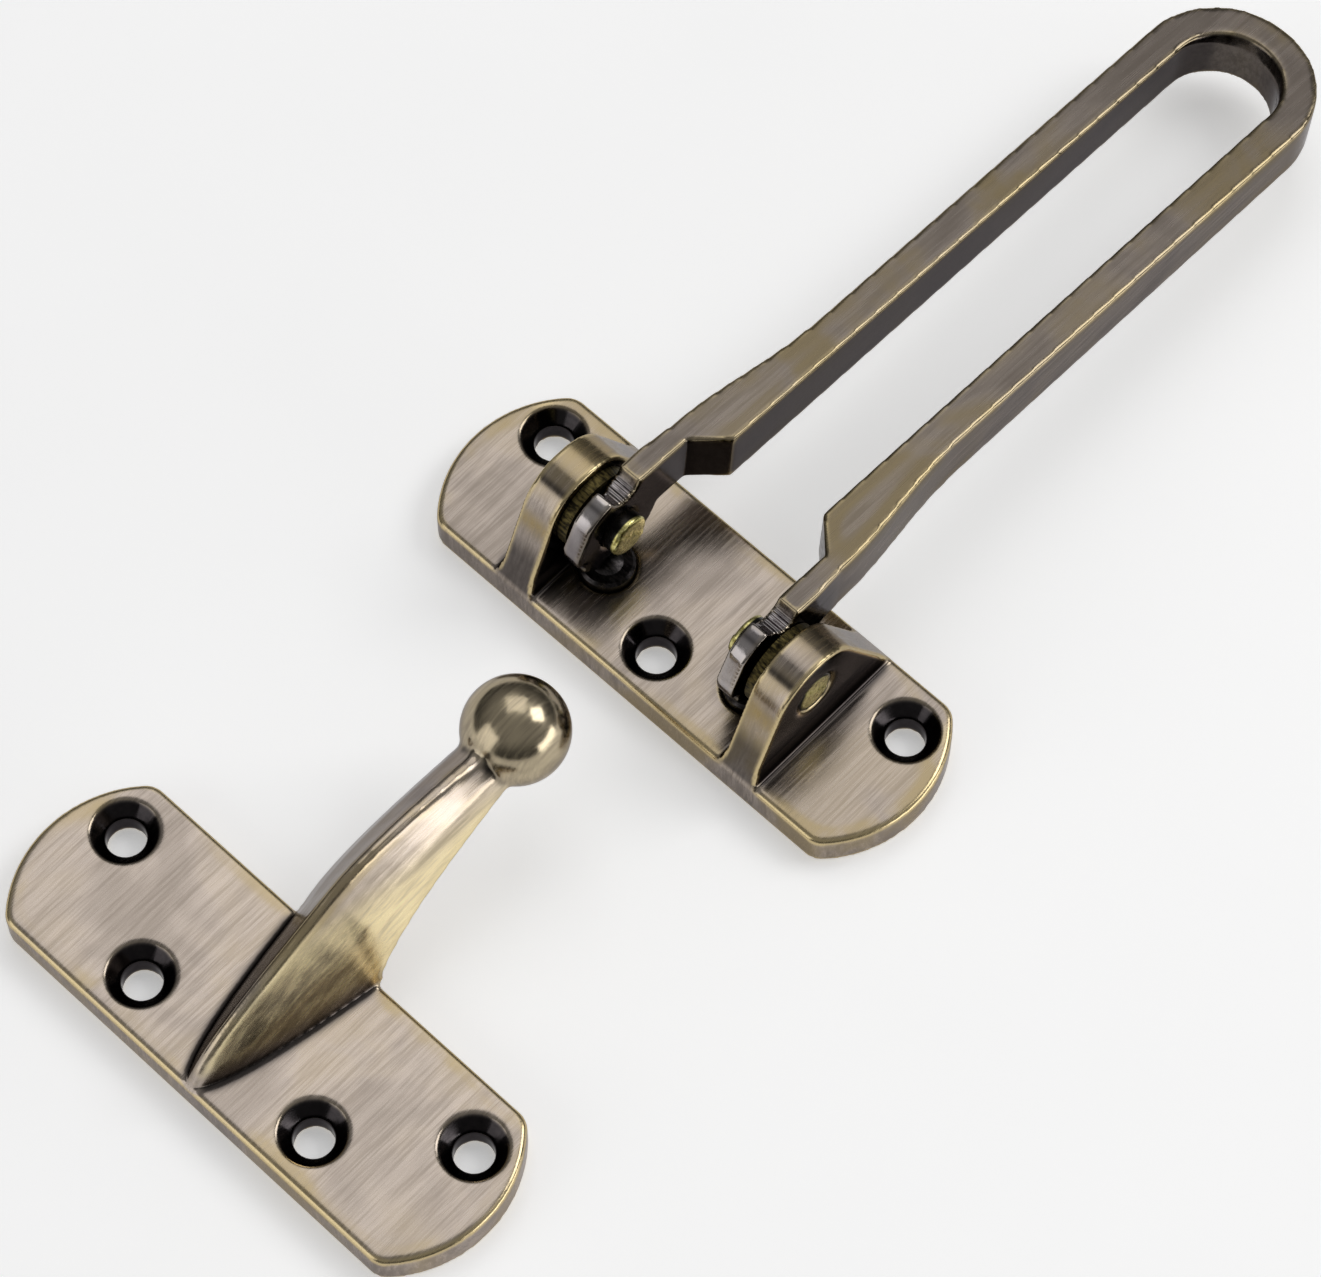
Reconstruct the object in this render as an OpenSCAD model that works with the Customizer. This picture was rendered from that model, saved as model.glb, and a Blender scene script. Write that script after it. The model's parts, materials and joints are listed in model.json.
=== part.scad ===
// Swing-bar door guard: a hinge plate with a fold-over bar, and a ball keeper for the door.
// Origin: centre of the hinge plate's back face. +X along the plate, +Y the way the bar
// points when it is folded back, +Z away from the door. Millimetres.

/* [Plates] */
// Width of both back plates
plate_w = 25.8; // [25:0.1:28]
// Thickness of both back plates
plate_t = 5; // [4.5:0.25:6]
// Length of the hinge plate over its round ends
hinge_plate_l = 77.2; // [76:0.2:84]
// Length of the keeper plate over its round ends
keeper_plate_l = 76.2; // [75:0.2:84]
// Radius of the plates' round ends
end_r = 17.5; // [16:0.5:20]
// Radius that softens each plate corner
corner_r = 3; // [1.5:0.25:4]
// Bevel round the plates' front edges
edge_c = 0.5; // [0.3:0.1:0.8]

/* [Screw holes] */
// Diameter of the screw holes
hole_d = 5.2; // [4.5:0.1:5.6]
// Diameter of the countersinks at the plate face
sink_d = 9; // [8:0.25:9.5]
// Distance between the hinge plate's two end screws
hinge_screws_x = 61.6; // [58:0.2:63]
// Distance of the end screws behind the hinge plate's centre line
hinge_screws_y = 6.55; // [5:0.05:7]
// Distance of the middle screw in front of the hinge plate's centre line
hinge_middle_y = 6.65; // [5:0.05:7]
// Distance between the keeper's two outer screws
keeper_outer_x = 60.8; // [58:0.2:62]
// Distance of the outer screws behind the keeper's centre line
keeper_outer_y = 5.7; // [4:0.1:6.5]
// Distance between the keeper's two inner screws
keeper_inner_x = 30; // [28:0.2:34]
// Distance of the inner screws in front of the keeper's centre line
keeper_inner_y = 6.3; // [5:0.1:7]

/* [Lugs and pins] */
// Clear width between the two lugs
lug_gap = 33.8; // [33.8:0.2:35]
// Thickness of a lug
lug_t = 5.2; // [4.5:0.1:6]
// Radius of a lug's round head
lug_r = 7.3; // [7.1:0.1:8.2]
// Widening of a lug's foot, each side
lug_flare = 0.45; // [0.2:0.05:0.5]
// Height of the pin line above the back face
hinge_z = 14.6; // [14.6:0.1:16]
// Place of the pin line across the plate
hinge_y = -1.05; // [-1.5:0.05:0]
// Diameter of the hinge pins
pin_d = 6; // [5:0.1:6]
// Running clearance between a pin and its knuckle, on the radius
pin_play = 0.05; // [0.03:0.01:0.1]
// Thickness of the friction washer in each hinge gap
washer_t = 1.5; // [1:0.1:1.5]
// Diameter of the friction washers
washer_d = 11.8; // [10:0.2:13.6]

/* [Swing bar] */
// Length from the pin line to the bar's tip
bar_len = 115.7; // [100:0.1:125]
// Outside width of the long straight loop
bar_w = 25; // [24:0.2:26]
// Width of the long slot
slot_w = 15.2; // [15:0.1:16]
// Thickness of the bar at the knuckles
bar_t = 9; // [8:0.25:9]
// How much thinner the bar is at its tip
bar_taper = 1.1; // [0:0.1:1.5]
// Height of the bar's top face above the pin line
bar_top = 7.3; // [7:0.1:7.4]
// Outside width over the two knuckles
knuckle_w = 30.5; // [29.5:0.1:30.5]
// Thickness of a knuckle
knuckle_t = 3.5; // [3:0.1:3.8]
// Droop of the folded-back bar, in degrees
bar_droop = 3.7; // [0:0.1:4]

/* [Detent] */
// Radius of the knuckle's cam
cam_r = 7.4; // [7.2:0.1:7.6]
// Radius of a detent notch
notch_r = 2.4; // [2.2:0.1:2.4]
// Diameter of the spring plunger
plunger_d = 7.4; // [7:0.1:7.6]
// How far the plungers stand off the pin line, towards the plate's front edge
plunger_back = 1.4; // [0.8:0.1:1.6]
// Wire diameter of the detent spring
spring_wire = 0.7; // [0.5:0.05:0.75]

/* [Keeper] */
// Distance between the two plates' centre lines
keeper_dist = 76.35; // [74:0.05:84]
// Diameter of the ball
ball_d = 14; // [13:0.25:14.5]
// Reach of the ball's centre past the keeper plate's centre line
ball_reach = 44.7; // [43.5:0.1:45]
// Height of the ball's centre above the back face
ball_z = 18.7; // [18.5:0.1:20]
// Width of the arm where it leaves the plate
arm_w = 14.6; // [12:0.2:15]

/* [Hidden] */
$fn = 96;
eps = 0.01;

brass = [0.55, 0.49, 0.41];
bright_zinc = [0.80, 0.75, 0.42];
dark_steel = [0.22, 0.20, 0.20];
spring_steel = [0.62, 0.62, 0.64];

lug_x = lug_gap / 2;                       // inner face of a lug
lug_mid = lug_x + lug_t / 2;
lug_foot_h = 2.5;                          // height of the widened foot
flank_dip = 0.02;                          // how far a flank's end lies inside the head
pin_r = pin_d / 2;
pin_squeeze = 0.01;                        // press fit of a pin in its lug, on the radius
pin_sunk = 0.15;                           // pin end below the lug's outer face
pin_proud = 2.1;                           // pin end proud of the knuckle's inner face
pin_bevel = 0.5;
pin_mouth = 0.55;                          // width of the dark ring round the pin's outer end

knuckle_out = knuckle_w / 2;
knuckle_in = knuckle_out - knuckle_t;

bar_bottom = bar_top - bar_t;
slab_u = 7;                                // where the knuckle's neck becomes the flat bar
taper_top = 0.75 * bar_taper;              // the tip's loss on the top face, and below
taper_low = bar_taper - taper_top;
tip_r = bar_w / 2;
slot_r = slot_w / 2;
tip_u = bar_len - tip_r;                   // centre of the rounded tip
slot_end_u = tip_u - 0.3;                  // centre of the slot's round end
scoop_h = 2.3;                             // depth of the scoop that runs out over the slot's end
scoop_run = 0.95;
scoop_side = 0.2;                          // how much the scoop widens the slot's top
scoop_r = slot_r + scoop_side;
scoop_z = bar_top - taper_top * (slot_end_u - slab_u) / (bar_len - slab_u) - scoop_h;
mouth_u = 16.3;                            // where the slot has its full narrow width
mouth_step = knuckle_in - slot_r;          // 45 degree shoulder
flare_u0 = 12;                             // the outside narrows between these two stations
flare_u1 = 37;
flare_x0 = 14.8;                           // half width where the narrowing starts
flare_steps = 16;

notch_seat = cam_r + 0.4;                  // distance of a notch's centre from the pin line
notch_turn = 90 - asin(plunger_back / cam_r);   // bearing of the upper notch; the lower one is opposite
side_notch_r = 1.5;
side_notch_seat = cam_r + 0.6;
side_notch_turn = 202;                     // bearing of the small notch of the half-open stop
cam_flat = cam_r - 0.4;                    // distance of the cam's flat from the pin line
cam_flat_turn = 155;                       // bearing of the cam's flat
cam_inset = 0.6;                           // cam's outer face inside the neck's
neck_u = 0.6;                              // where the thicker neck starts

well_play = 0.1;
well_floor = 0.8;
cam_gap = 0.1;                             // plunger tip below the passing cam
nose_h = 0.6;
nose_base_r = 2.1;
nose_sphere_r = (pow(nose_base_r, 2) + pow(nose_h, 2)) / (2 * nose_h);
plunger_r = plunger_d / 2;
plunger_x = lug_x - lug_flare - well_play - plunger_r - 0.05;
plunger_y = hinge_y - plunger_back;
plunger_tip_z = hinge_z - cam_r - cam_gap;
plunger_top_z = plunger_tip_z - nose_h;
plunger_skin = 1.1;
plunger_foot_z = well_floor + 0.6;
plunger_bevel = 0.4;
spring_room_z = plunger_top_z - plunger_skin;
spring_r = plunger_r - plunger_skin - spring_wire / 2 - 0.25;
spring_turns = 4;
spring_steps = 18;                         // rings a turn
spring_sides = 8;

arm_steps = 9;                             // sections on the plate, and again beyond it
ridge_w = 0.55;                            // half width of the arm's flat ridge

// A point on a cubic curve through four control values, which may be numbers or points
function curve(c, t) = pow(1 - t, 3) * c[0] + 3 * t * pow(1 - t, 2) * c[1]
    + 3 * t * t * (1 - t) * c[2] + pow(t, 3) * c[3];

// Lays an outline drawn in Y and Z across X, from x0 to x1
module across(x0, x1) {
    translate([x0, 0, 0]) rotate([90, 0, 90]) linear_extrude(x1 - x0) children();
}

// Draws its children on the right, and again mirrored on the left
module both_sides() {
    children();
    mirror([1, 0, 0]) children();
}

// One layer of a back plate: length l, height h, drawn in by inset at its top
module plate_layer(l, h, inset) {
    half = plate_w / 2;
    cx = l / 2 - end_r;
    ky = half - corner_r;
    kx = cx + sqrt(pow(end_r - corner_r, 2) - pow(ky, 2));
    reach = 2 * end_r;
    across(-kx, kx) polygon([[-half, 0], [half, 0], [half - inset, h], [-half + inset, h]]);
    both_sides() {
        for (side = [-1, 1]) {
            translate([kx, side * ky, 0]) cylinder(h = h, r1 = corner_r, r2 = corner_r - inset);
        }
        intersection() {
            translate([cx, 0, 0]) cylinder(h = h, r1 = end_r, r2 = end_r - inset);
            linear_extrude(h) polygon([[cx, 0], [cx + reach, reach * ky / (kx - cx)],
                [cx + reach, -reach * ky / (kx - cx)]]);
        }
    }
}

// A back plate with bevelled front edges
module plate(l) {
    plate_layer(l, plate_t - edge_c, 0);
    translate([0, 0, plate_t - edge_c]) plate_layer(l, edge_c, edge_c);
}

// A countersunk screw hole through a back plate
module screw_hole(x, y) {
    sink_h = (sink_d - hole_d) / 2;
    translate([x, y, -1]) cylinder(h = plate_t + 2, d = hole_d);
    translate([x, y, plate_t - sink_h]) cylinder(h = sink_h + 1, d1 = hole_d, d2 = sink_d + 2);
}

// Where a flank from a foot point ends, just inside the lug's round head; turn is 1 at the front, -1 behind
function touch(foot, turn) =
    let (d = [hinge_y, hinge_z] - foot,
        r = lug_r - flank_dip,
        run = sqrt(pow(norm(d), 2) - pow(r, 2)),
        a = atan2(d[1], d[0]) + turn * asin(r / norm(d)))
    foot + run * [cos(a), sin(a)];

// Side view of a lug: a round head on two straight flanks
module lug_outline() {
    front = [-plate_w / 2, plate_t - edge_c];
    rear = [plate_w / 2, plate_t - edge_c];
    translate([hinge_y, hinge_z]) circle(lug_r);
    polygon([[front[0], 1], front, touch(front, 1), [hinge_y, hinge_z], touch(rear, -1), rear, [rear[0], 1]]);
}

// One lug on the right of the hinge plate, with its widened foot
module lug() {
    across(lug_x, lug_x + lug_t) lug_outline();
    intersection() {
        across(lug_x - 1, lug_x + lug_t + 1) lug_outline();
        translate([lug_mid, plate_w, 0]) rotate([90, 0, 0]) linear_extrude(2 * plate_w)
            polygon([[-lug_t / 2 - lug_flare, 1], [-lug_t / 2 - lug_flare, plate_t],
                [-lug_t / 2, plate_t + lug_foot_h], [lug_t / 2, plate_t + lug_foot_h],
                [lug_t / 2 + lug_flare, plate_t], [lug_t / 2 + lug_flare, 1]]);
    }
}

// Casting screwed to the frame: plate, two lugs, pin holes and the wells of the detent springs
module bar_plate() {
    color(brass) difference() {
        union() {
            plate(hinge_plate_l);
            both_sides() lug();
        }
        for (side = [-1, 1]) {
            screw_hole(side * hinge_screws_x / 2, hinge_screws_y);
        }
        screw_hole(0, -hinge_middle_y);
        both_sides() {
            translate([lug_x - 1, hinge_y, hinge_z]) rotate([0, 90, 0])
                cylinder(h = lug_t + 2, r = pin_r - pin_squeeze);
            translate([lug_x + lug_t - pin_mouth, hinge_y, hinge_z]) rotate([0, 90, 0])
                cylinder(h = pin_mouth + eps, r1 = pin_r - pin_squeeze, r2 = pin_r + pin_mouth);
            translate([plunger_x, plunger_y, well_floor]) cylinder(h = plate_t, r = plunger_r + well_play);
        }
    }
}

// A knuckle on the right, in the bar's own frame: a notched cam and the thicker neck of the bar
module knuckle() {
    difference() {
        union() {
            across(knuckle_in, knuckle_out - cam_inset) circle(cam_r);
            across(knuckle_in, knuckle_out) polygon([[neck_u, bar_bottom], [slab_u, bar_bottom],
                [slab_u, bar_top], [neck_u, bar_top]]);
        }
        across(knuckle_in - 1, knuckle_out + 1) rotate(bar_droop) {
            for (turn = [notch_turn, notch_turn + 180]) {
                rotate(turn) translate([notch_seat, 0]) circle(notch_r);
            }
            rotate(side_notch_turn) translate([side_notch_seat, 0]) circle(side_notch_r);
            rotate(cam_flat_turn) translate([cam_flat, -cam_r]) square([cam_r, 2 * cam_r]);
        }
    }
}

// Half width of the bar's outside at station u
function bar_side(u) = u < flare_u0
    ? knuckle_out + (flare_x0 - knuckle_out) * (u - slab_u) / (flare_u0 - slab_u)
    : tip_r + (flare_x0 - tip_r) * (1 + cos(180 * min(1, (u - flare_u0) / (flare_u1 - flare_u0)))) / 2;

// Plan of the flat bar: the loop outside, less the slot and its wide mouth
module bar_outline() {
    stations = concat([slab_u],
        [for (i = [0 : flare_steps]) flare_u0 + (flare_u1 - flare_u0) * i / flare_steps], [tip_u]);
    difference() {
        union() {
            polygon(concat([for (u = stations) [bar_side(u), u]],
                [for (i = [len(stations) - 1 : -1 : 0]) [-bar_side(stations[i]), stations[i]]]));
            translate([0, tip_u]) circle(tip_r);
        }
        translate([0, slot_end_u]) circle(slot_r);
        polygon([[-knuckle_in, slab_u - 1], [-knuckle_in, mouth_u - mouth_step], [-slot_r, mouth_u],
            [-slot_r, slot_end_u], [slot_r, slot_end_u], [slot_r, mouth_u], [knuckle_in, mouth_u - mouth_step],
            [knuckle_in, slab_u - 1]]);
    }
}

// The long loop that folds over the keeper's ball
module swing_bar() {
    color(brass) translate([0, hinge_y, hinge_z]) rotate([-bar_droop, 0, 0]) difference() {
        union() {
            intersection() {
                translate([0, 0, bar_bottom]) linear_extrude(bar_t) bar_outline();
                across(-knuckle_w, knuckle_w) polygon([[slab_u, bar_bottom], [bar_len, bar_bottom + taper_low],
                    [bar_len, bar_top - taper_top], [slab_u, bar_top]]);
            }
            both_sides() knuckle();
        }
        translate([0, slot_end_u + scoop_run - scoop_side, scoop_z])
            cylinder(h = 2 * scoop_h, r1 = scoop_r - scoop_run, r2 = scoop_r + scoop_run);
        translate([-knuckle_out - 1, 0, 0]) rotate([0, 90, 0])
            cylinder(h = knuckle_w + 2, r = pin_r + pin_play);
    }
}

// Hinge pin on the right: pressed into the lug, staked end proud of the knuckle
module hinge_pin() {
    x0 = knuckle_in - pin_proud;
    length = lug_x + lug_t - pin_sunk - x0;
    color(bright_zinc) translate([x0, hinge_y, hinge_z]) rotate([0, 90, 0]) union() {
        cylinder(h = pin_bevel, r1 = pin_r - pin_bevel, r2 = pin_r);
        translate([0, 0, pin_bevel]) cylinder(h = length - 2 * pin_bevel, r = pin_r);
        translate([0, 0, length - pin_bevel]) cylinder(h = pin_bevel, r1 = pin_r, r2 = pin_r - pin_bevel);
    }
}
module hinge_pin_left() { mirror([1, 0, 0]) hinge_pin(); }
module hinge_pin_right() { hinge_pin(); }

// Friction washer on the right, against the lug's inner face
module washer() {
    color(bright_zinc) translate([lug_x - washer_t, hinge_y, hinge_z]) rotate([0, 90, 0]) difference() {
        cylinder(h = washer_t, d = washer_d);
        translate([0, 0, -1]) cylinder(h = washer_t + 2, r = pin_r + 2 * pin_play);
    }
}
module washer_left() { mirror([1, 0, 0]) washer(); }
module washer_right() { washer(); }

// Hollow detent plunger on the right: a cup over its spring, with a domed nose for the notches
module detent_plunger() {
    color(dark_steel) translate([plunger_x, plunger_y, 0]) difference() {
        union() {
            translate([0, 0, plunger_foot_z])
                cylinder(h = plunger_top_z - plunger_bevel - plunger_foot_z, r = plunger_r);
            translate([0, 0, plunger_top_z - plunger_bevel])
                cylinder(h = plunger_bevel, r1 = plunger_r, r2 = plunger_r - plunger_bevel);
            intersection() {
                translate([0, 0, plunger_tip_z - nose_sphere_r]) sphere(nose_sphere_r);
                translate([0, 0, plunger_top_z - plunger_bevel]) cylinder(h = 2, r = nose_sphere_r);
            }
        }
        translate([0, 0, plunger_foot_z - 1])
            cylinder(h = spring_room_z - plunger_foot_z + 1, r = plunger_r - plunger_skin);
    }
}
module detent_plunger_left() { mirror([1, 0, 0]) detent_plunger(); }
module detent_plunger_right() { detent_plunger(); }

// Coil spring on the right, from the well's floor to the plunger's ceiling
module detent_spring() {
    rings = spring_turns * spring_steps;
    wire_r = spring_wire / 2;
    z0 = well_floor + wire_r;
    z1 = spring_room_z - wire_r - 0.05;
    points = [for (i = [0 : rings], k = [0 : spring_sides - 1])
        let (a = 360 * i / spring_steps, b = 360 * k / spring_sides, r = spring_r + wire_r * cos(b))
        [r * cos(a), r * sin(a), z0 + (z1 - z0) * i / rings + wire_r * sin(b)]];
    sides = [for (i = [0 : rings - 1], k = [0 : spring_sides - 1])
        let (n = (k + 1) % spring_sides, p = i * spring_sides)
        [p + k, p + n, p + spring_sides + n, p + spring_sides + k]];
    start = [for (k = [spring_sides - 1 : -1 : 0]) k];
    end = [for (k = [0 : spring_sides - 1]) rings * spring_sides + k];
    color(spring_steel) translate([plunger_x, plunger_y, 0])
        polyhedron(points = points, faces = concat(sides, [start, end]));
}
module detent_spring_left() { mirror([1, 0, 0]) detent_spring(); }
module detent_spring_right() { detent_spring(); }

// One section of the keeper's arm: ridge point, edge point, half width, belly depth and bulge
function arm_section(ridge, edge, w, belly, bulge) =
    let (mid = (ridge + edge) / 2,
        right = [[ridge_w, ridge[0], ridge[1]], [(ridge_w + w) / 2 + bulge, mid[0], mid[1] + bulge / 2],
            [w, edge[0], edge[1]], [0.62 * w, edge[0], edge[1] - belly]])
    concat(right, [for (i = [len(right) - 1 : -1 : 0]) [-right[i][0], right[i][1], right[i][2]]]);

// The keeper's arm: a keel that rises from the plate, overhangs its edge and ends inside the ball
module arm() {
    half = plate_w / 2;
    foot_z = plate_t - 0.5;
    crest = plate_t + 15.9;
    on_ridge = [[-half + 0.5, plate_t], [-half + 3.5, plate_t + 7.5], [2, plate_t + 10.3], [half, crest]];
    on_w = [0.6, 3.7, 5.6, arm_w / 2];
    off_ridge = [[half, crest], [half + 5.5, crest + 2.7], [half + 17.5, crest + 2.1],
        [ball_reach - 3, ball_z + 2]];
    off_edge = [[half, foot_z], [half + 4.5, foot_z + 8], [half + 13.5, foot_z + 10],
        [ball_reach - 3, ball_z - 1]];
    off_w = [arm_w / 2, 6.4, 5.5, 4];
    sections = concat(
        [for (i = [0 : arm_steps - 1])
            let (t = i / arm_steps, r = curve(on_ridge, t))
            arm_section(r, [r[0], foot_z], curve(on_w, t), 0.5, 0.15 + 0.15 * t)],
        [for (i = [0 : arm_steps])
            let (t = i / arm_steps)
            arm_section(curve(off_ridge, t), curve(off_edge, t), curve(off_w, t),
                curve([0.5, 2.5, 2.5, 2.5], t), 0.3 + 0.3 * t)]);
    n = len(sections[0]);
    last = len(sections) - 1;
    sides = [for (s = [0 : last - 1], k = [0 : n - 1])
        [s * n + k, (s + 1) * n + k, (s + 1) * n + (k + 1) % n, s * n + (k + 1) % n]];
    front = [for (k = [0 : n - 1]) k];
    back = [for (k = [n - 1 : -1 : 0]) last * n + k];
    polyhedron(points = [for (s = sections, p = s) p], faces = concat(sides, [front, back]));
}

// Casting screwed to the door: plate, arm and ball
module keeper_plate() {
    color(brass) translate([0, -keeper_dist, 0]) difference() {
        union() {
            plate(keeper_plate_l);
            arm();
            translate([0, ball_reach, ball_z]) sphere(d = ball_d);
        }
        for (side = [-1, 1]) {
            screw_hole(side * keeper_outer_x / 2, keeper_outer_y);
            screw_hole(side * keeper_inner_x / 2, -keeper_inner_y);
        }
    }
}

bar_plate();
swing_bar();
hinge_pin_left();
hinge_pin_right();
washer_left();
washer_right();
detent_plunger_left();
detent_plunger_right();
detent_spring_left();
detent_spring_right();
keeper_plate();
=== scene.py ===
"""Swing-bar door guard in brushed antique brass, lying open on a pale studio floor. Metres, +Z up."""

import json
import math

import bmesh
import bpy
import numpy as np
from mathutils import Matrix, Vector
from mathutils.bvhtree import BVHTree


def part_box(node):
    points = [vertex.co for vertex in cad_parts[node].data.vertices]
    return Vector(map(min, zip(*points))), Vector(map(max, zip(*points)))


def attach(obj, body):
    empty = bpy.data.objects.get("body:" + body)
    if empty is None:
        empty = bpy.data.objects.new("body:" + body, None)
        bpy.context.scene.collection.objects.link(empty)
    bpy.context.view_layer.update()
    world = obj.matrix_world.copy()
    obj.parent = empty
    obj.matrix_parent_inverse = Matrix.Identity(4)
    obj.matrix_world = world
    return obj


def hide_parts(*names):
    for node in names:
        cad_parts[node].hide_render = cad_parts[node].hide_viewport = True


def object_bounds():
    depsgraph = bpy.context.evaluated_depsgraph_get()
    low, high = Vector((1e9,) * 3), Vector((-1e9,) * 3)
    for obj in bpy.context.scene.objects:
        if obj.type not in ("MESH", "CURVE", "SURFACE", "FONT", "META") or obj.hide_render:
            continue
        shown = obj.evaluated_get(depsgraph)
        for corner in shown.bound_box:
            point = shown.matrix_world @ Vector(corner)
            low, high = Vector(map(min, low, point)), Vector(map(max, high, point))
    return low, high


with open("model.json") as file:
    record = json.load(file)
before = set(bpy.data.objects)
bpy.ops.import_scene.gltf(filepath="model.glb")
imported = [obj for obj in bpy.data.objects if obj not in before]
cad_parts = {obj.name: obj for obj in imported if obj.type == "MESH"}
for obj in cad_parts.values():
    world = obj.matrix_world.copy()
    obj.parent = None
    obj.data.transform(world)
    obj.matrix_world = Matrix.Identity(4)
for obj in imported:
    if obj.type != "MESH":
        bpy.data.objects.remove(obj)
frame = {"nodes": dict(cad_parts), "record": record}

MM = 0.001
VOXEL = 0.285 * MM                  # mesh size of the castings, small enough for their edges
ROOM_LOW, ROOM_HIGH = 0.07, 0.30    # strength of the room's light at the horizon and overhead
FLOOR_GLOW = 0.34                   # the floor's own light

# Sizes of the part that its boxes do not give
PLATE_TOP = 5 * MM
SINK_R = 4.5 * MM
BALL_R = 7 * MM
SLOT_CURVES, SLOT_CLOSES = 90 * MM, 95 * MM     # where along +Y the slot's closed end begins and is full

cad_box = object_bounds()

scene = bpy.context.scene
scene.view_settings.view_transform = "Standard"


# ---------------------------------------------------------------- places and sizes, all from the frame

keeper_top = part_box("keeper_plate")[1]
pin_lo, pin_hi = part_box("hinge_pin_right")
pin_line = Vector((0, (pin_lo.y + pin_hi.y) / 2, (pin_lo.z + pin_hi.z) / 2))
screws = {m["name"]: m for m in frame["record"]["mounts"] if m["kind"] in ("bore", "bolt_pattern")}


def screw_centres(mount_names):
    """The XY centres of the countersunk holes that these mounts state."""
    found = []
    for name in mount_names:
        mount = screws[name]
        x, y = mount["pos_m"][:2]
        half = mount["dims"].get("spacing_x_mm", 0) / 2 * MM
        found += [(x + half, y), (x - half, y)] if half else [(x, y)]
    return found


hinge_screws = screw_centres(["hinge_end_screws", "hinge_middle_screw"])
keeper_screws = screw_centres(["keeper_outer_screws", "keeper_inner_screws"])


# ---------------------------------------------------------------- mesh helpers

def add_object(name, mesh):
    piece = bpy.data.objects.new(name, mesh)
    scene.collection.objects.link(piece)
    return piece


def baked(piece, name):
    """Applies a piece's modifiers and returns it with the plain result as its mesh."""
    graph = bpy.context.evaluated_depsgraph_get()
    mesh = bpy.data.meshes.new_from_object(piece.evaluated_get(graph))
    mesh.name = name
    piece.modifiers.clear()
    piece.data = mesh
    return piece


def softened(node, name, voxel, passes, soft=None):
    """A copy of a CAD node with cast, slightly rounded edges, rounder still where soft(points) says so."""
    source = frame["nodes"][node]
    piece = add_object(name, source.data.copy())
    weld = piece.modifiers.new("weld", "WELD")
    weld.merge_threshold = 0.001 * MM
    remesh = piece.modifiers.new("voxels", "REMESH")
    remesh.mode = "VOXEL"
    remesh.voxel_size = voxel
    smooth = piece.modifiers.new("smooth", "SMOOTH")
    smooth.factor = 0.5
    smooth.iterations = passes
    baked(piece, name)
    if soft:
        group = piece.vertex_groups.new(name="soft")
        for k, weight in enumerate(soft(arrays(piece.data)[0])):
            if weight > 0:
                group.add([k], float(weight), "REPLACE")
        more = piece.modifiers.new("soft", "SMOOTH")
        more.vertex_group = "soft"
        more.factor = 0.5
        more.iterations = 24
        baked(piece, name)
        piece.vertex_groups.clear()
    piece.data.materials.clear()
    piece.data.shade_smooth()
    return piece


def arrays(mesh):
    """Points, vertex normals and edges of a mesh as arrays."""
    n = len(mesh.vertices)
    points = np.empty(n * 3)
    mesh.vertices.foreach_get("co", points)
    normals = np.empty(n * 3)
    mesh.vertex_normals.foreach_get("vector", normals)
    edges = np.empty(len(mesh.edges) * 2, np.int64)
    mesh.edges.foreach_get("vertices", edges)
    return points.reshape(-1, 3), normals.reshape(-1, 3), edges.reshape(-1, 2)


def spread(values, edges, times):
    """Averages a per-vertex value with its neighbours, several times."""
    count = np.bincount(edges.ravel(), minlength=len(values)) + 1.0
    for _ in range(times):
        total = values.copy()
        np.add.at(total, edges[:, 0], values[edges[:, 1]])
        np.add.at(total, edges[:, 1], values[edges[:, 0]])
        values = total / count
    return values


def bend(mesh, times):
    """Signed curvature at each vertex: positive on an outside edge, negative in an inside corner."""
    points, normals, edges = arrays(mesh)
    step = points[edges[:, 1]] - points[edges[:, 0]]
    turn = normals[edges[:, 1]] - normals[edges[:, 0]]
    along = (step * turn).sum(1) / np.maximum((step * step).sum(1), 1e-12)
    total = np.zeros(len(points))
    np.add.at(total, edges[:, 0], along)
    np.add.at(total, edges[:, 1], along)
    count = np.bincount(edges.ravel(), minlength=len(points))
    return spread(total / np.maximum(count, 1), edges, times)


def store(mesh, name, values):
    layer = mesh.attributes.new(name, "FLOAT", "POINT")
    layer.data.foreach_set("value", values.astype(np.float32))


def ramp(x, low, high):
    """0 below low and 1 above high, with a smooth step between."""
    t = np.clip((x - low) / (high - low), 0, 1)
    return t * t * (3 - 2 * t)


def scattered(count):
    """Directions spread evenly over the sphere."""
    i = np.arange(count) + 0.5
    turn, z = math.pi * (1 + math.sqrt(5)) * i, 1 - 2 * i / count
    flat = np.sqrt(1 - z * z)
    return np.stack([np.cos(turn) * flat, np.sin(turn) * flat, z], 1)


def shelter(mesh, near, reach, rays=22):
    """How closed in each vertex is by the CAD nodes near it: 0 in the open, 1 in a deep recess."""
    trees = []
    for node in near:
        source = frame["nodes"][node].data
        corners = [v.co for v in source.vertices]
        trees.append(BVHTree.FromPolygons(corners, [p.vertices for p in source.polygons]))
    points, normals, edges = arrays(mesh)
    ways = scattered(rays)
    hidden = np.zeros(len(points))
    for k, (point, normal) in enumerate(zip(points, normals)):
        start = Vector(point + normal * 0.35 * MM)
        facing = ways @ normal
        total = 0.0
        for i in np.nonzero(facing > 0.15)[0]:
            total += facing[i]
            way = Vector(ways[i])
            gap = min((tree.ray_cast(start, way, reach)[3] or reach) for tree in trees)
            hidden[k] += facing[i] * (1 - gap / reach)
        hidden[k] /= total
    return spread(hidden, edges, 6)


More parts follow.
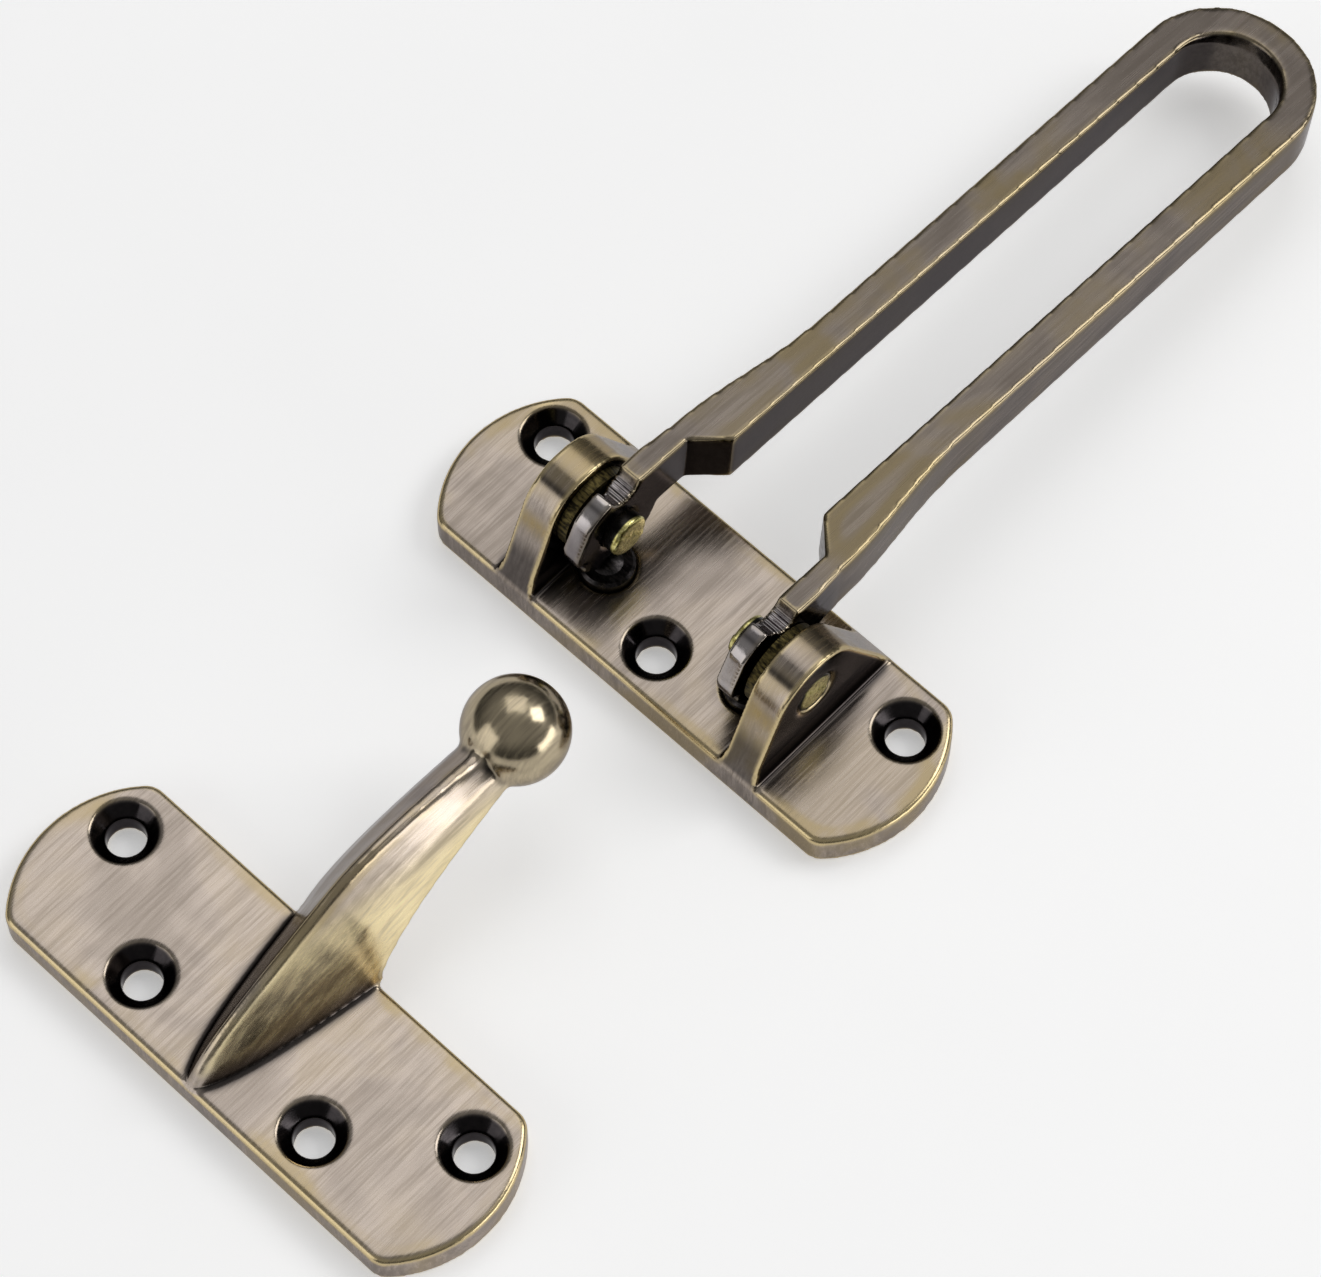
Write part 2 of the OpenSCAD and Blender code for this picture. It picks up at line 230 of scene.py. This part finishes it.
def store_wear(mesh, near, black, gold, polish=0.0, calm=0.0, pale=0.0):
    """The masks the casting material reads: worn edge, darkening of hollows (unbrushed patina, partly painted
    ambient shade), black (unbrushed black patina, plus painted shade and painted dark reflection lines), gold
    (rubbed-off brass, on the keeper arm's lit flank partly a painted highlight) and polish.
    calm holds back edge wear and the darkening of hollows, and pale lightens the metal. Curvature is in 1/m."""
    curve = bend(mesh, 3)
    _, _, edges = arrays(mesh)
    # inside corners are painted dark: partly patina left in creases, partly painted shade
    corner = ramp(-spread(curve, edges, 5), 70, 320)
    store(mesh, "edge", ramp(curve, 260, 620) * (1 - calm))
    store(mesh, "near_edge", ramp(spread(np.maximum(curve - 160, 0), edges, 60), 15, 120))
    # the darkening of hollows comes from computed occlusion: partly unbrushed patina, partly painted ambient
    # shade
    store(mesh, "recess", shelter(mesh, near, 9 * MM) * (1 - 0.8 * calm))
    store(mesh, "black", spread(np.maximum(black, 0.9 * corner), edges, 2))
    store(mesh, "gold", spread(gold, edges, 8))
    nothing = np.zeros(len(black))
    store(mesh, "pale", spread(pale + nothing, edges, 2))
    store(mesh, "polish", spread(polish + nothing, edges, 4))


def in_sinks(points, centres):
    """1 on the walls of the countersunk holes."""
    inside = np.zeros(len(points))
    for x, y in centres:
        away = np.hypot(points[:, 0] - x, points[:, 1] - y)
        inside = np.maximum(inside, 1 - ramp(away, SINK_R - 0.25 * MM, SINK_R + 0.05 * MM))
    return inside * ramp(points[:, 2], 0.2 * MM, 0.4 * MM)


# ---------------------------------------------------------------- materials

class Nodes:
    """A short way to write a node tree: each method adds a node and returns its output socket."""

    def __init__(self, name):
        self.material = bpy.data.materials.new(name)
        self.material.use_nodes = True
        self.tree = self.material.node_tree
        self.shader = self.tree.nodes["Principled BSDF"]

    def feed(self, socket, value):
        if isinstance(value, bpy.types.NodeSocket):
            self.tree.links.new(value, socket)
        else:
            socket.default_value = value

    def node(self, kind, **settings):
        made = self.tree.nodes.new(kind)
        for key, value in settings.items():
            setattr(made, key, value)
        return made

    def point(self):
        return self.node("ShaderNodeTexCoord").outputs["Object"]

    def layer(self, name):
        return self.node("ShaderNodeAttribute", attribute_name=name).outputs["Fac"]

    def stretched(self, vector, scale, turn=(0, 0, 0)):
        made = self.node("ShaderNodeMapping")
        self.feed(made.inputs["Vector"], vector)
        made.inputs["Scale"].default_value = scale
        made.inputs["Rotation"].default_value = turn
        return made.outputs["Vector"]

    def noise(self, vector, scale, detail=4.0, rough=0.55, warp=0.0):
        made = self.node("ShaderNodeTexNoise")
        self.feed(made.inputs["Vector"], vector)
        made.inputs["Scale"].default_value = scale
        made.inputs["Detail"].default_value = detail
        made.inputs["Roughness"].default_value = rough
        made.inputs["Distortion"].default_value = warp
        return made.outputs["Fac"]

    def math(self, operation, a, b=0.0, clamp=False):
        made = self.node("ShaderNodeMath", operation=operation, use_clamp=clamp)
        self.feed(made.inputs[0], a)
        self.feed(made.inputs[1], b)
        return made.outputs[0]

    def span(self, value, low, high, to_low=0.0, to_high=1.0):
        made = self.node("ShaderNodeMapRange", interpolation_type="SMOOTHSTEP")
        self.feed(made.inputs["Value"], value)
        made.inputs["From Min"].default_value = low
        made.inputs["From Max"].default_value = high
        made.inputs["To Min"].default_value = to_low
        made.inputs["To Max"].default_value = to_high
        return made.outputs["Result"]

    def mix(self, factor, a, b):
        made = self.node("ShaderNodeMix", data_type="RGBA")
        self.feed(made.inputs["Factor"], factor)
        self.feed(made.inputs["A"], a)
        self.feed(made.inputs["B"], b)
        return made.outputs["Result"]

    def bump(self, height, strength, distance, normal=None):
        made = self.node("ShaderNodeBump")
        self.feed(made.inputs["Height"], height)
        made.inputs["Strength"].default_value = strength
        made.inputs["Distance"].default_value = distance
        if normal is not None:
            self.feed(made.inputs["Normal"], normal)
        return made.outputs["Normal"]


def rgb(r, g, b):
    return (r, g, b, 1.0)


def casting(name, brush_scale, tone, rub=1.0, brass=(0.36, 0.27, 0.12, 1), fluted=False):
    """Antique brass: blackened all over, then brushed until the open faces and edges show metal; hollows stay
    dark, partly as that patina and partly as painted ambient shade.
    tone lightens the brushed faces, rub the worn edges, and brass is the colour where most was rubbed off, on
    the keeper arm's lit flank partly a painted highlight."""
    n = Nodes(name)
    point = n.point()
    strokes = n.stretched(point, brush_scale)
    fine = n.noise(strokes, 1.0, 4.0, 0.65)
    broad = n.noise(strokes, 0.30, 3.0, 0.5)
    cloud = n.noise(point, 55.0, 3.0, 0.5, 0.6)
    speck = n.noise(point, 1300.0, 2.0, 0.6)

    edge = n.layer("edge")
    near_edge = n.layer("near_edge")
    recess = n.layer("recess")
    black = n.layer("black")

    streak = n.math("ADD", n.math("MULTIPLY", fine, 0.7), n.math("MULTIPLY", broad, 0.3))
    brushed = n.mix(n.span(streak, 0.36, 0.64), rgb(0.215 * tone, 0.182 * tone, 0.155 * tone),
                    rgb(0.370 * tone, 0.318 * tone, 0.278 * tone))
    patchy = n.span(cloud, 0.44, 0.64)
    olive = n.math("MULTIPLY", patchy, n.span(near_edge, 0.0, 1.0, 0.25, 0.85), clamp=True)
    # brass-coloured patches: rubbed-off brass, and on the keeper arm's lit flank partly a painted highlight
    bare_brass_and_highlight = n.math("MULTIPLY", n.layer("gold"), n.span(streak, 0.30, 0.62, 0.45, 1.0))
    golden = n.mix(olive, brushed, rgb(0.270 * tone, 0.212 * tone, 0.118 * tone))
    golden = n.mix(bare_brass_and_highlight, golden, brass)
    silvery = n.mix(n.span(cloud, 0.4, 0.6), rgb(0.25, 0.23, 0.24), rgb(0.46, 0.43, 0.43))
    golden = n.mix(n.layer("pale"), golden, silvery)
    smoky = n.mix(n.span(cloud, 0.56, 0.36, 0.0, 0.40), golden, rgb(0.115 * tone, 0.096 * tone, 0.080 * tone))
    dark = n.mix(speck, rgb(0.020, 0.018, 0.019), rgb(0.050, 0.044, 0.045))

    uneven = n.math("MULTIPLY", n.math("SUBTRACT", streak, 0.5), 0.5)
    # hollows darken here: partly unbrushed patina, partly painted ambient shade
    closed = n.span(n.math("ADD", recess, uneven), 0.20, 0.58)
    cover = n.math("MAXIMUM", black, closed)
    plain = n.math("MAXIMUM", cover, n.layer("polish"))
    rubbed = n.math("ADD", fine, n.math("MULTIPLY", cloud, 0.6))
    worn = n.math("MULTIPLY", edge, n.span(rubbed, 0.52, 0.84, 0.60, 1.0))
    worn = n.math("MULTIPLY", worn, n.math("SUBTRACT", rub, n.math("MULTIPLY", closed, 0.8 * rub)))
    colour = n.mix(cover, smoky, dark)
    colour = n.mix(worn, colour, rgb(0.560, 0.450, 0.250))

    rough = n.span(fine, 0.3, 0.7, 0.19, 0.30)
    rough = n.math("SUBTRACT", rough, n.math("MULTIPLY", plain, 0.08))
    scratches = n.math("MULTIPLY", fine, n.math("SUBTRACT", 1.0, n.math("MULTIPLY", plain, 0.8)))
    normal = n.bump(scratches, 0.22, 0.02 * MM)
    normal = n.bump(speck, 0.06, 0.02 * MM, normal)
    if fluted:
        along = n.node("ShaderNodeSeparateXYZ")
        n.feed(along.inputs[0], point)
        waves = n.math("SINE", n.math("MULTIPLY", along.outputs["Y"], 2 * math.pi / (0.75 * MM)))
        normal = n.bump(n.math("MULTIPLY", waves, n.layer("flutes")), 0.9, 0.10 * MM, normal)

    n.feed(n.shader.inputs["Base Color"], colour)
    n.feed(n.shader.inputs["Roughness"], rough)
    n.feed(n.shader.inputs["Normal"], normal)
    n.shader.inputs["Metallic"].default_value = 1.0
    n.shader.inputs["Specular Tint"].default_value = rgb(0.62, 0.61, 0.62)
    return n.material


def turned_metal(name, light, shade, rough, blackened=False, relief=0.3):
    """Small lathe-turned pieces: fine rings, a little dirt and soft gloss."""
    n = Nodes(name)
    point = n.point()
    grain = n.noise(n.stretched(point, (900, 2600, 2600)), 1.0, 3.0, 0.6)
    dirt = n.noise(point, 700.0, 4.0, 0.6, 0.5)
    colour = n.mix(n.span(grain, 0.35, 0.65), shade, light)
    colour = n.mix(n.span(dirt, 0.60, 0.75, 0.0, 0.8), colour, rgb(*[c * 0.3 for c in shade[:3]]))
    if blackened:
        colour = n.mix(n.layer("black"), colour, rgb(0.022, 0.020, 0.018))
    n.feed(n.shader.inputs["Base Color"], colour)
    n.feed(n.shader.inputs["Roughness"], n.span(dirt, 0.35, 0.7, rough, rough + 0.15))
    n.feed(n.shader.inputs["Normal"], n.bump(grain, relief, 0.02 * MM))
    n.shader.inputs["Metallic"].default_value = 1.0
    return n.material


hinge_brass = casting("hinge_brass", (2600, 110, 420), 1.22)
# the keeper's light brass colour shows on the ball and on the arm's right flank, there partly as a painted
# highlight
keeper_brass = casting("keeper_brass", (2600, 110, 420), 1.50, 1.0, rgb(0.95, 0.80, 0.48))
bar_brass = casting("bar_brass", (2000, 60, 1200), 0.60, 0.4, fluted=True)
pin_gold = turned_metal("pin_gold", rgb(0.74, 0.68, 0.30), rgb(0.40, 0.35, 0.11), 0.24, blackened=True)
# the washers are darkened nearly to black: partly dirt, partly painted shade of the gap they sit in
washer_gold = turned_metal("washer_gold", rgb(0.12, 0.095, 0.035), rgb(0.012, 0.010, 0.006), 0.45,
                           relief=0.12)
black_steel = turned_metal("black_steel", rgb(0.050, 0.045, 0.045), rgb(0.015, 0.014, 0.014), 0.25)
spring_wire = turned_metal("spring_wire", rgb(0.55, 0.55, 0.57), rgb(0.30, 0.30, 0.32), 0.30)


def finish_piece(piece, node, body, material):
    piece.data.materials.append(material)
    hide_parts(node)
    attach(piece, body)


# ---------------------------------------------------------------- castings

def bearing(points):
    """Angle of each point about the pin line, in degrees, seen from +X: 0 towards +Y, 90 up."""
    return np.degrees(np.arctan2(points[:, 2] - pin_line.z, points[:, 1] - pin_line.y)) % 360


def around(angles, middle, half):
    """1 at the middle bearing, falling to 0 half that many degrees away."""
    return 1 - ramp(np.abs(angles - middle), 0, half)


def make_hinge_plate():
    piece = softened("bar_plate", "hinge_plate_casting", VOXEL, 5)
    points, normals, _ = arrays(piece.data)
    turn = bearing(points)
    on_lug = ramp(points[:, 2], PLATE_TOP, PLATE_TOP + 0.4 * MM)
    sides = ramp(np.abs(normals[:, 0]), 0.8, 0.95) * on_lug
    curved = (1 - sides) * on_lug
    # a painted dark reflection line across each lug's head
    painted_dark_reflection = 0.85 * around(turn, 122, 7) * curved
    low = 1 - ramp(points[:, 2], pin_line.z - 5 * MM, pin_line.z - 1 * MM)
    front = ramp(-normals[:, 1], 0.6, 0.85) * low * curved
    from_pin = np.hypot(points[:, 1] - pin_line.y, points[:, 2] - pin_line.z)
    at_pin = sides * (1 - ramp(from_pin, 3.6 * MM, 4.0 * MM))
    black = np.maximum.reduce([in_sinks(points, hinge_screws), 0.95 * sides, painted_dark_reflection, 0.75 * front])
    # brass-coloured bands at set bearings across the lug heads and over their tops
    gold = np.maximum(around(turn, 172, 18), 0.7 - 0.7 * ramp(turn, 70, 105)) * curved
    store_wear(piece.data, ["bar_plate"], np.maximum(black, at_pin), gold, calm=at_pin)
    finish_piece(piece, "bar_plate", "hinge_half", hinge_brass)


def make_bar():
    piece = softened("swing_bar", "swing_bar_casting", VOXEL, 10)
    points, normals, _ = arrays(piece.data)
    walls = ramp(-normals[:, 0] * np.sign(points[:, 0]), 0.5, 0.8)
    slot_end = ramp(-normals[:, 1], 0.3, 0.6) * ramp(points[:, 1], SLOT_CURVES, SLOT_CLOSES)
    turn = bearing(points)
    away = np.hypot(points[:, 1] - pin_line.y, points[:, 2] - pin_line.z)
    rim = 1 - ramp(np.abs(normals[:, 0]), 0.7, 0.9)
    cam = rim * (1 - ramp(points[:, 1], pin_line.y + 2.6 * MM, pin_line.y + 3.4 * MM))
    under = ramp(turn, 188, 198) * (1 - ramp(turn, 300, 330))
    flank = ramp(np.abs(normals[:, 0]), 0.8, 0.95) * (1 - ramp(away, 9 * MM, 14 * MM))
    # the cam's lower half is painted black, and a thin painted dark line at bearing 112° stands in for the
    # shade of a small step between its lobe and facet
    black = np.maximum.reduce([0.8 * walls, 0.45 * slot_end, cam * under,
                               0.9 * cam * around(turn, 112, 4), 0.95 * flank])
    store(piece.data, "flutes", cam * ramp(points[:, 1], pin_line.y + 0.2 * MM, pin_line.y + 0.8 * MM)
          * ramp(points[:, 2], pin_line.z, pin_line.z + 1 * MM))
    store_wear(piece.data, ["swing_bar"], black, 0 * turn, polish=cam,
               calm=0.7 * ramp(-points[:, 1], 0, 2 * MM), pale=0.85 * cam)
    finish_piece(piece, "swing_bar", "bar", bar_brass)


def make_keeper():
    piece = softened("keeper_plate", "keeper_casting", VOXEL, 5,
                     lambda points: ramp(points[:, 2], PLATE_TOP + 0.6 * MM, PLATE_TOP + 1.6 * MM))
    points, normals, _ = arrays(piece.data)
    ball = np.array((0, keeper_top.y - BALL_R, keeper_top.z - BALL_R))
    on_ball = 1 - ramp(np.linalg.norm(points - ball, axis=1), BALL_R + 0.1 * MM, BALL_R + 0.4 * MM)
    on_arm = ramp(points[:, 2], PLATE_TOP + 0.3 * MM, PLATE_TOP + 1 * MM) * (1 - on_ball)
    height = points[:, 2] - PLATE_TOP
    right = ramp(normals[:, 0], 0.35, 0.6) * on_arm
    left = ramp(-normals[:, 0], 0.35, 0.6) * on_arm
    buffed_and_lit_band = ramp(height, 1 * MM, 3 * MM) * (1 - ramp(height, 10 * MM, 15 * MM))
    foot = (1 - ramp(height, 0.5 * MM, 4 * MM)) * right
    # the left flank is painted darker, partly patina and partly painted shade of its unlit side; the arm's
    # foot gets a little painted shade
    black = np.maximum.reduce([in_sinks(points, keeper_screws), 0.35 * left, 0.10 * foot, 0.35 * on_ball])
    # the right flank's middle band gets brass colour, partly from buffing and partly a painted highlight of
    # its lit side
    gold = np.maximum(right * buffed_and_lit_band, 0.5 * on_ball)
    store_wear(piece.data, ["keeper_plate"], black, gold, polish=0.6 * on_ball, calm=0.8 * on_arm)
    finish_piece(piece, "keeper_plate", "keeper", keeper_brass)


def make_pin(side):
    """A plain pin: blackened shank, and bright ends where it was cut and staked over."""
    node = "hinge_pin_" + side
    lo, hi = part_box(node)
    way = 1 if lo.x > 0 else -1
    start = lo.x if way > 0 else hi.x
    length, r = hi.x - lo.x, (hi.z - lo.z) / 2
    rings = [(0, r * f) for f in (0.12, 0.30, 0.48, 0.66)] + [
        (0, r - 0.40 * MM), (0.12 * MM, r - 0.15 * MM), (0.40 * MM, r), (0.70 * MM, r), (0.85 * MM, r),
        (length - 0.60 * MM, r), (length - 0.25 * MM, r), (length, r - 0.20 * MM)] + [
        (length, r * f) for f in (0.75, 0.50, 0.25)]
    facets = 72
    turns = np.arange(facets) * 2 * math.pi / facets
    points, shades = [], []
    for along, reach in [(0, 0)] + rings + [(length, 0)]:
        for t in turns if reach else [0.0]:
            y, z = reach * math.cos(t), reach * math.sin(t)
            cut = y * math.cos(0.9) + z * math.sin(0.9) - 0.35 * MM
            sunk = 0.16 * MM * float(ramp(np.array(cut), -0.12 * MM, 0.12 * MM)) if reach < r else 0
            depth = along + sunk if along < length / 2 else along - sunk
            points.append((start + way * depth, pin_line.y + y, pin_line.z + z))
            shades.append(float(0.80 * MM < along and reach > r - 0.3 * MM))
    ring_count = len(rings)
    faces = [(0, 1 + k, 1 + (k + 1) % facets) for k in range(facets)]
    for j in range(ring_count - 1):
        a, b = 1 + j * facets, 1 + (j + 1) * facets
        faces += [(a + k, b + k, b + (k + 1) % facets, a + (k + 1) % facets) for k in range(facets)]
    last, far_middle = 1 + (ring_count - 1) * facets, 1 + ring_count * facets
    faces += [(last + k, far_middle, last + (k + 1) % facets) for k in range(facets)]
    mesh = bpy.data.meshes.new("pin_" + side)
    mesh.from_pydata(points, [], faces)
    shaped = bmesh.new()
    shaped.from_mesh(mesh)
    bmesh.ops.recalc_face_normals(shaped, faces=shaped.faces)
    shaped.to_mesh(mesh)
    shaped.free()
    mesh.shade_smooth()
    store(mesh, "black", np.array(shades))
    finish_piece(add_object("pin_" + side, mesh), node, "hinge_half", pin_gold)


make_hinge_plate()
make_bar()
make_keeper()

for side in ("left", "right"):
    make_pin(side)
    for node, material in (("washer_", washer_gold), ("detent_plunger_", black_steel),
                           ("detent_spring_", spring_wire)):
        kept = frame["nodes"][node + side]
        kept.data.materials.clear()
        kept.data.materials.append(material)


# ---------------------------------------------------------------- floor, lights and camera

def make_floor():
    """A white light-table top: it glows a little, so the shadows stay pale."""
    mesh = bpy.data.meshes.new("floor")
    half = 3.0
    corners = [(-half, -half, 0), (half, -half, 0), (half, half, 0), (-half, half, 0)]
    mesh.from_pydata(corners, [], [(0, 1, 2, 3)])
    floor = add_object("floor", mesh)
    floor.location.z = -0.05 * MM
    n = Nodes("pale_floor")
    mottled = n.mix(n.noise(n.point(), 30.0), rgb(0.90, 0.90, 0.90), rgb(0.93, 0.93, 0.93))
    n.feed(n.shader.inputs["Base Color"], mottled)
    n.shader.inputs["Roughness"].default_value = 0.6
    n.shader.inputs["Emission Color"].default_value = rgb(1, 1, 1)
    n.shader.inputs["Emission Strength"].default_value = FLOOR_GLOW
    mesh.materials.append(n.material)


def add_light(name, place, target, size, power):
    data = bpy.data.lights.new(name, "AREA")
    data.shape = "RECTANGLE"
    data.size, data.size_y = size
    data.energy = power
    light = bpy.data.objects.new(name, data)
    light.location = place
    light.rotation_mode = "QUATERNION"
    light.rotation_quaternion = (Vector(target) - Vector(place)).to_track_quat("-Z", "Y")
    scene.collection.objects.link(light)


def make_world():
    """A dim room: lighter overhead and dark towards the horizon."""
    world = bpy.data.worlds.new("studio")
    scene.world = world
    world.use_nodes = True
    tree = world.node_tree
    back = tree.nodes["Background"]
    back.inputs["Color"].default_value = rgb(1, 1, 1)
    way = tree.nodes.new("ShaderNodeTexCoord")
    split = tree.nodes.new("ShaderNodeSeparateXYZ")
    level = tree.nodes.new("ShaderNodeMapRange")
    level.interpolation_type = "SMOOTHSTEP"
    level.inputs["From Min"].default_value, level.inputs["From Max"].default_value = 0.1, 0.8
    level.inputs["To Min"].default_value, level.inputs["To Max"].default_value = ROOM_LOW, ROOM_HIGH
    tree.links.new(way.outputs["Generated"], split.inputs[0])
    tree.links.new(split.outputs["Z"], level.inputs["Value"])
    tree.links.new(level.outputs["Result"], back.inputs["Strength"])


def make_camera():
    """Looks down from the keeper's right, as the object is usually pictured."""
    turn, height = math.radians(43.49), math.radians(63.13)
    right = Vector((math.cos(turn), math.sin(turn), 0))
    back = Vector((math.sin(turn) * math.cos(height), -math.cos(turn) * math.cos(height), math.sin(height)))
    up = back.cross(right)
    data = bpy.data.cameras.new("camera")
    data.lens, data.sensor_width = 134.0, 36.0
    data.clip_start, data.clip_end = 0.01, 20
    camera = bpy.data.objects.new("camera", data)
    scene.collection.objects.link(camera)
    eye = (right * -3.86 + up * -0.66 + back * 629.6 + Vector((0, -0.25, 0))) * MM
    frame_axes = Matrix((right, up, back)).transposed().to_4x4()
    frame_axes.translation = eye
    camera.matrix_world = frame_axes
    scene.camera = camera


make_floor()
make_world()
centre = Vector((0, (cad_box[0].y + cad_box[1].y) / 2, 0))
# direction from the part, distance, width and height, radiance
for name, way, far, size, radiance in (("overhead", (-0.31, 0.33, 0.89), 1.3, (0.85, 0.85), 1.1),
                                       ("front", (-0.31, -0.89, 0.33), 0.9, (0.60, 0.60), 1.2),
                                       ("right", (0.93, 0.33, 0.15), 0.9, (0.75, 0.24), 3.4),
                                       ("top", (0.45, 0.75, 0.9), 1.3, (0.60, 0.60), 3.8)):
    power = radiance * math.pi * size[0] * size[1]
    add_light(name, centre + Vector(way).normalized() * far, centre, size, power)
make_camera()
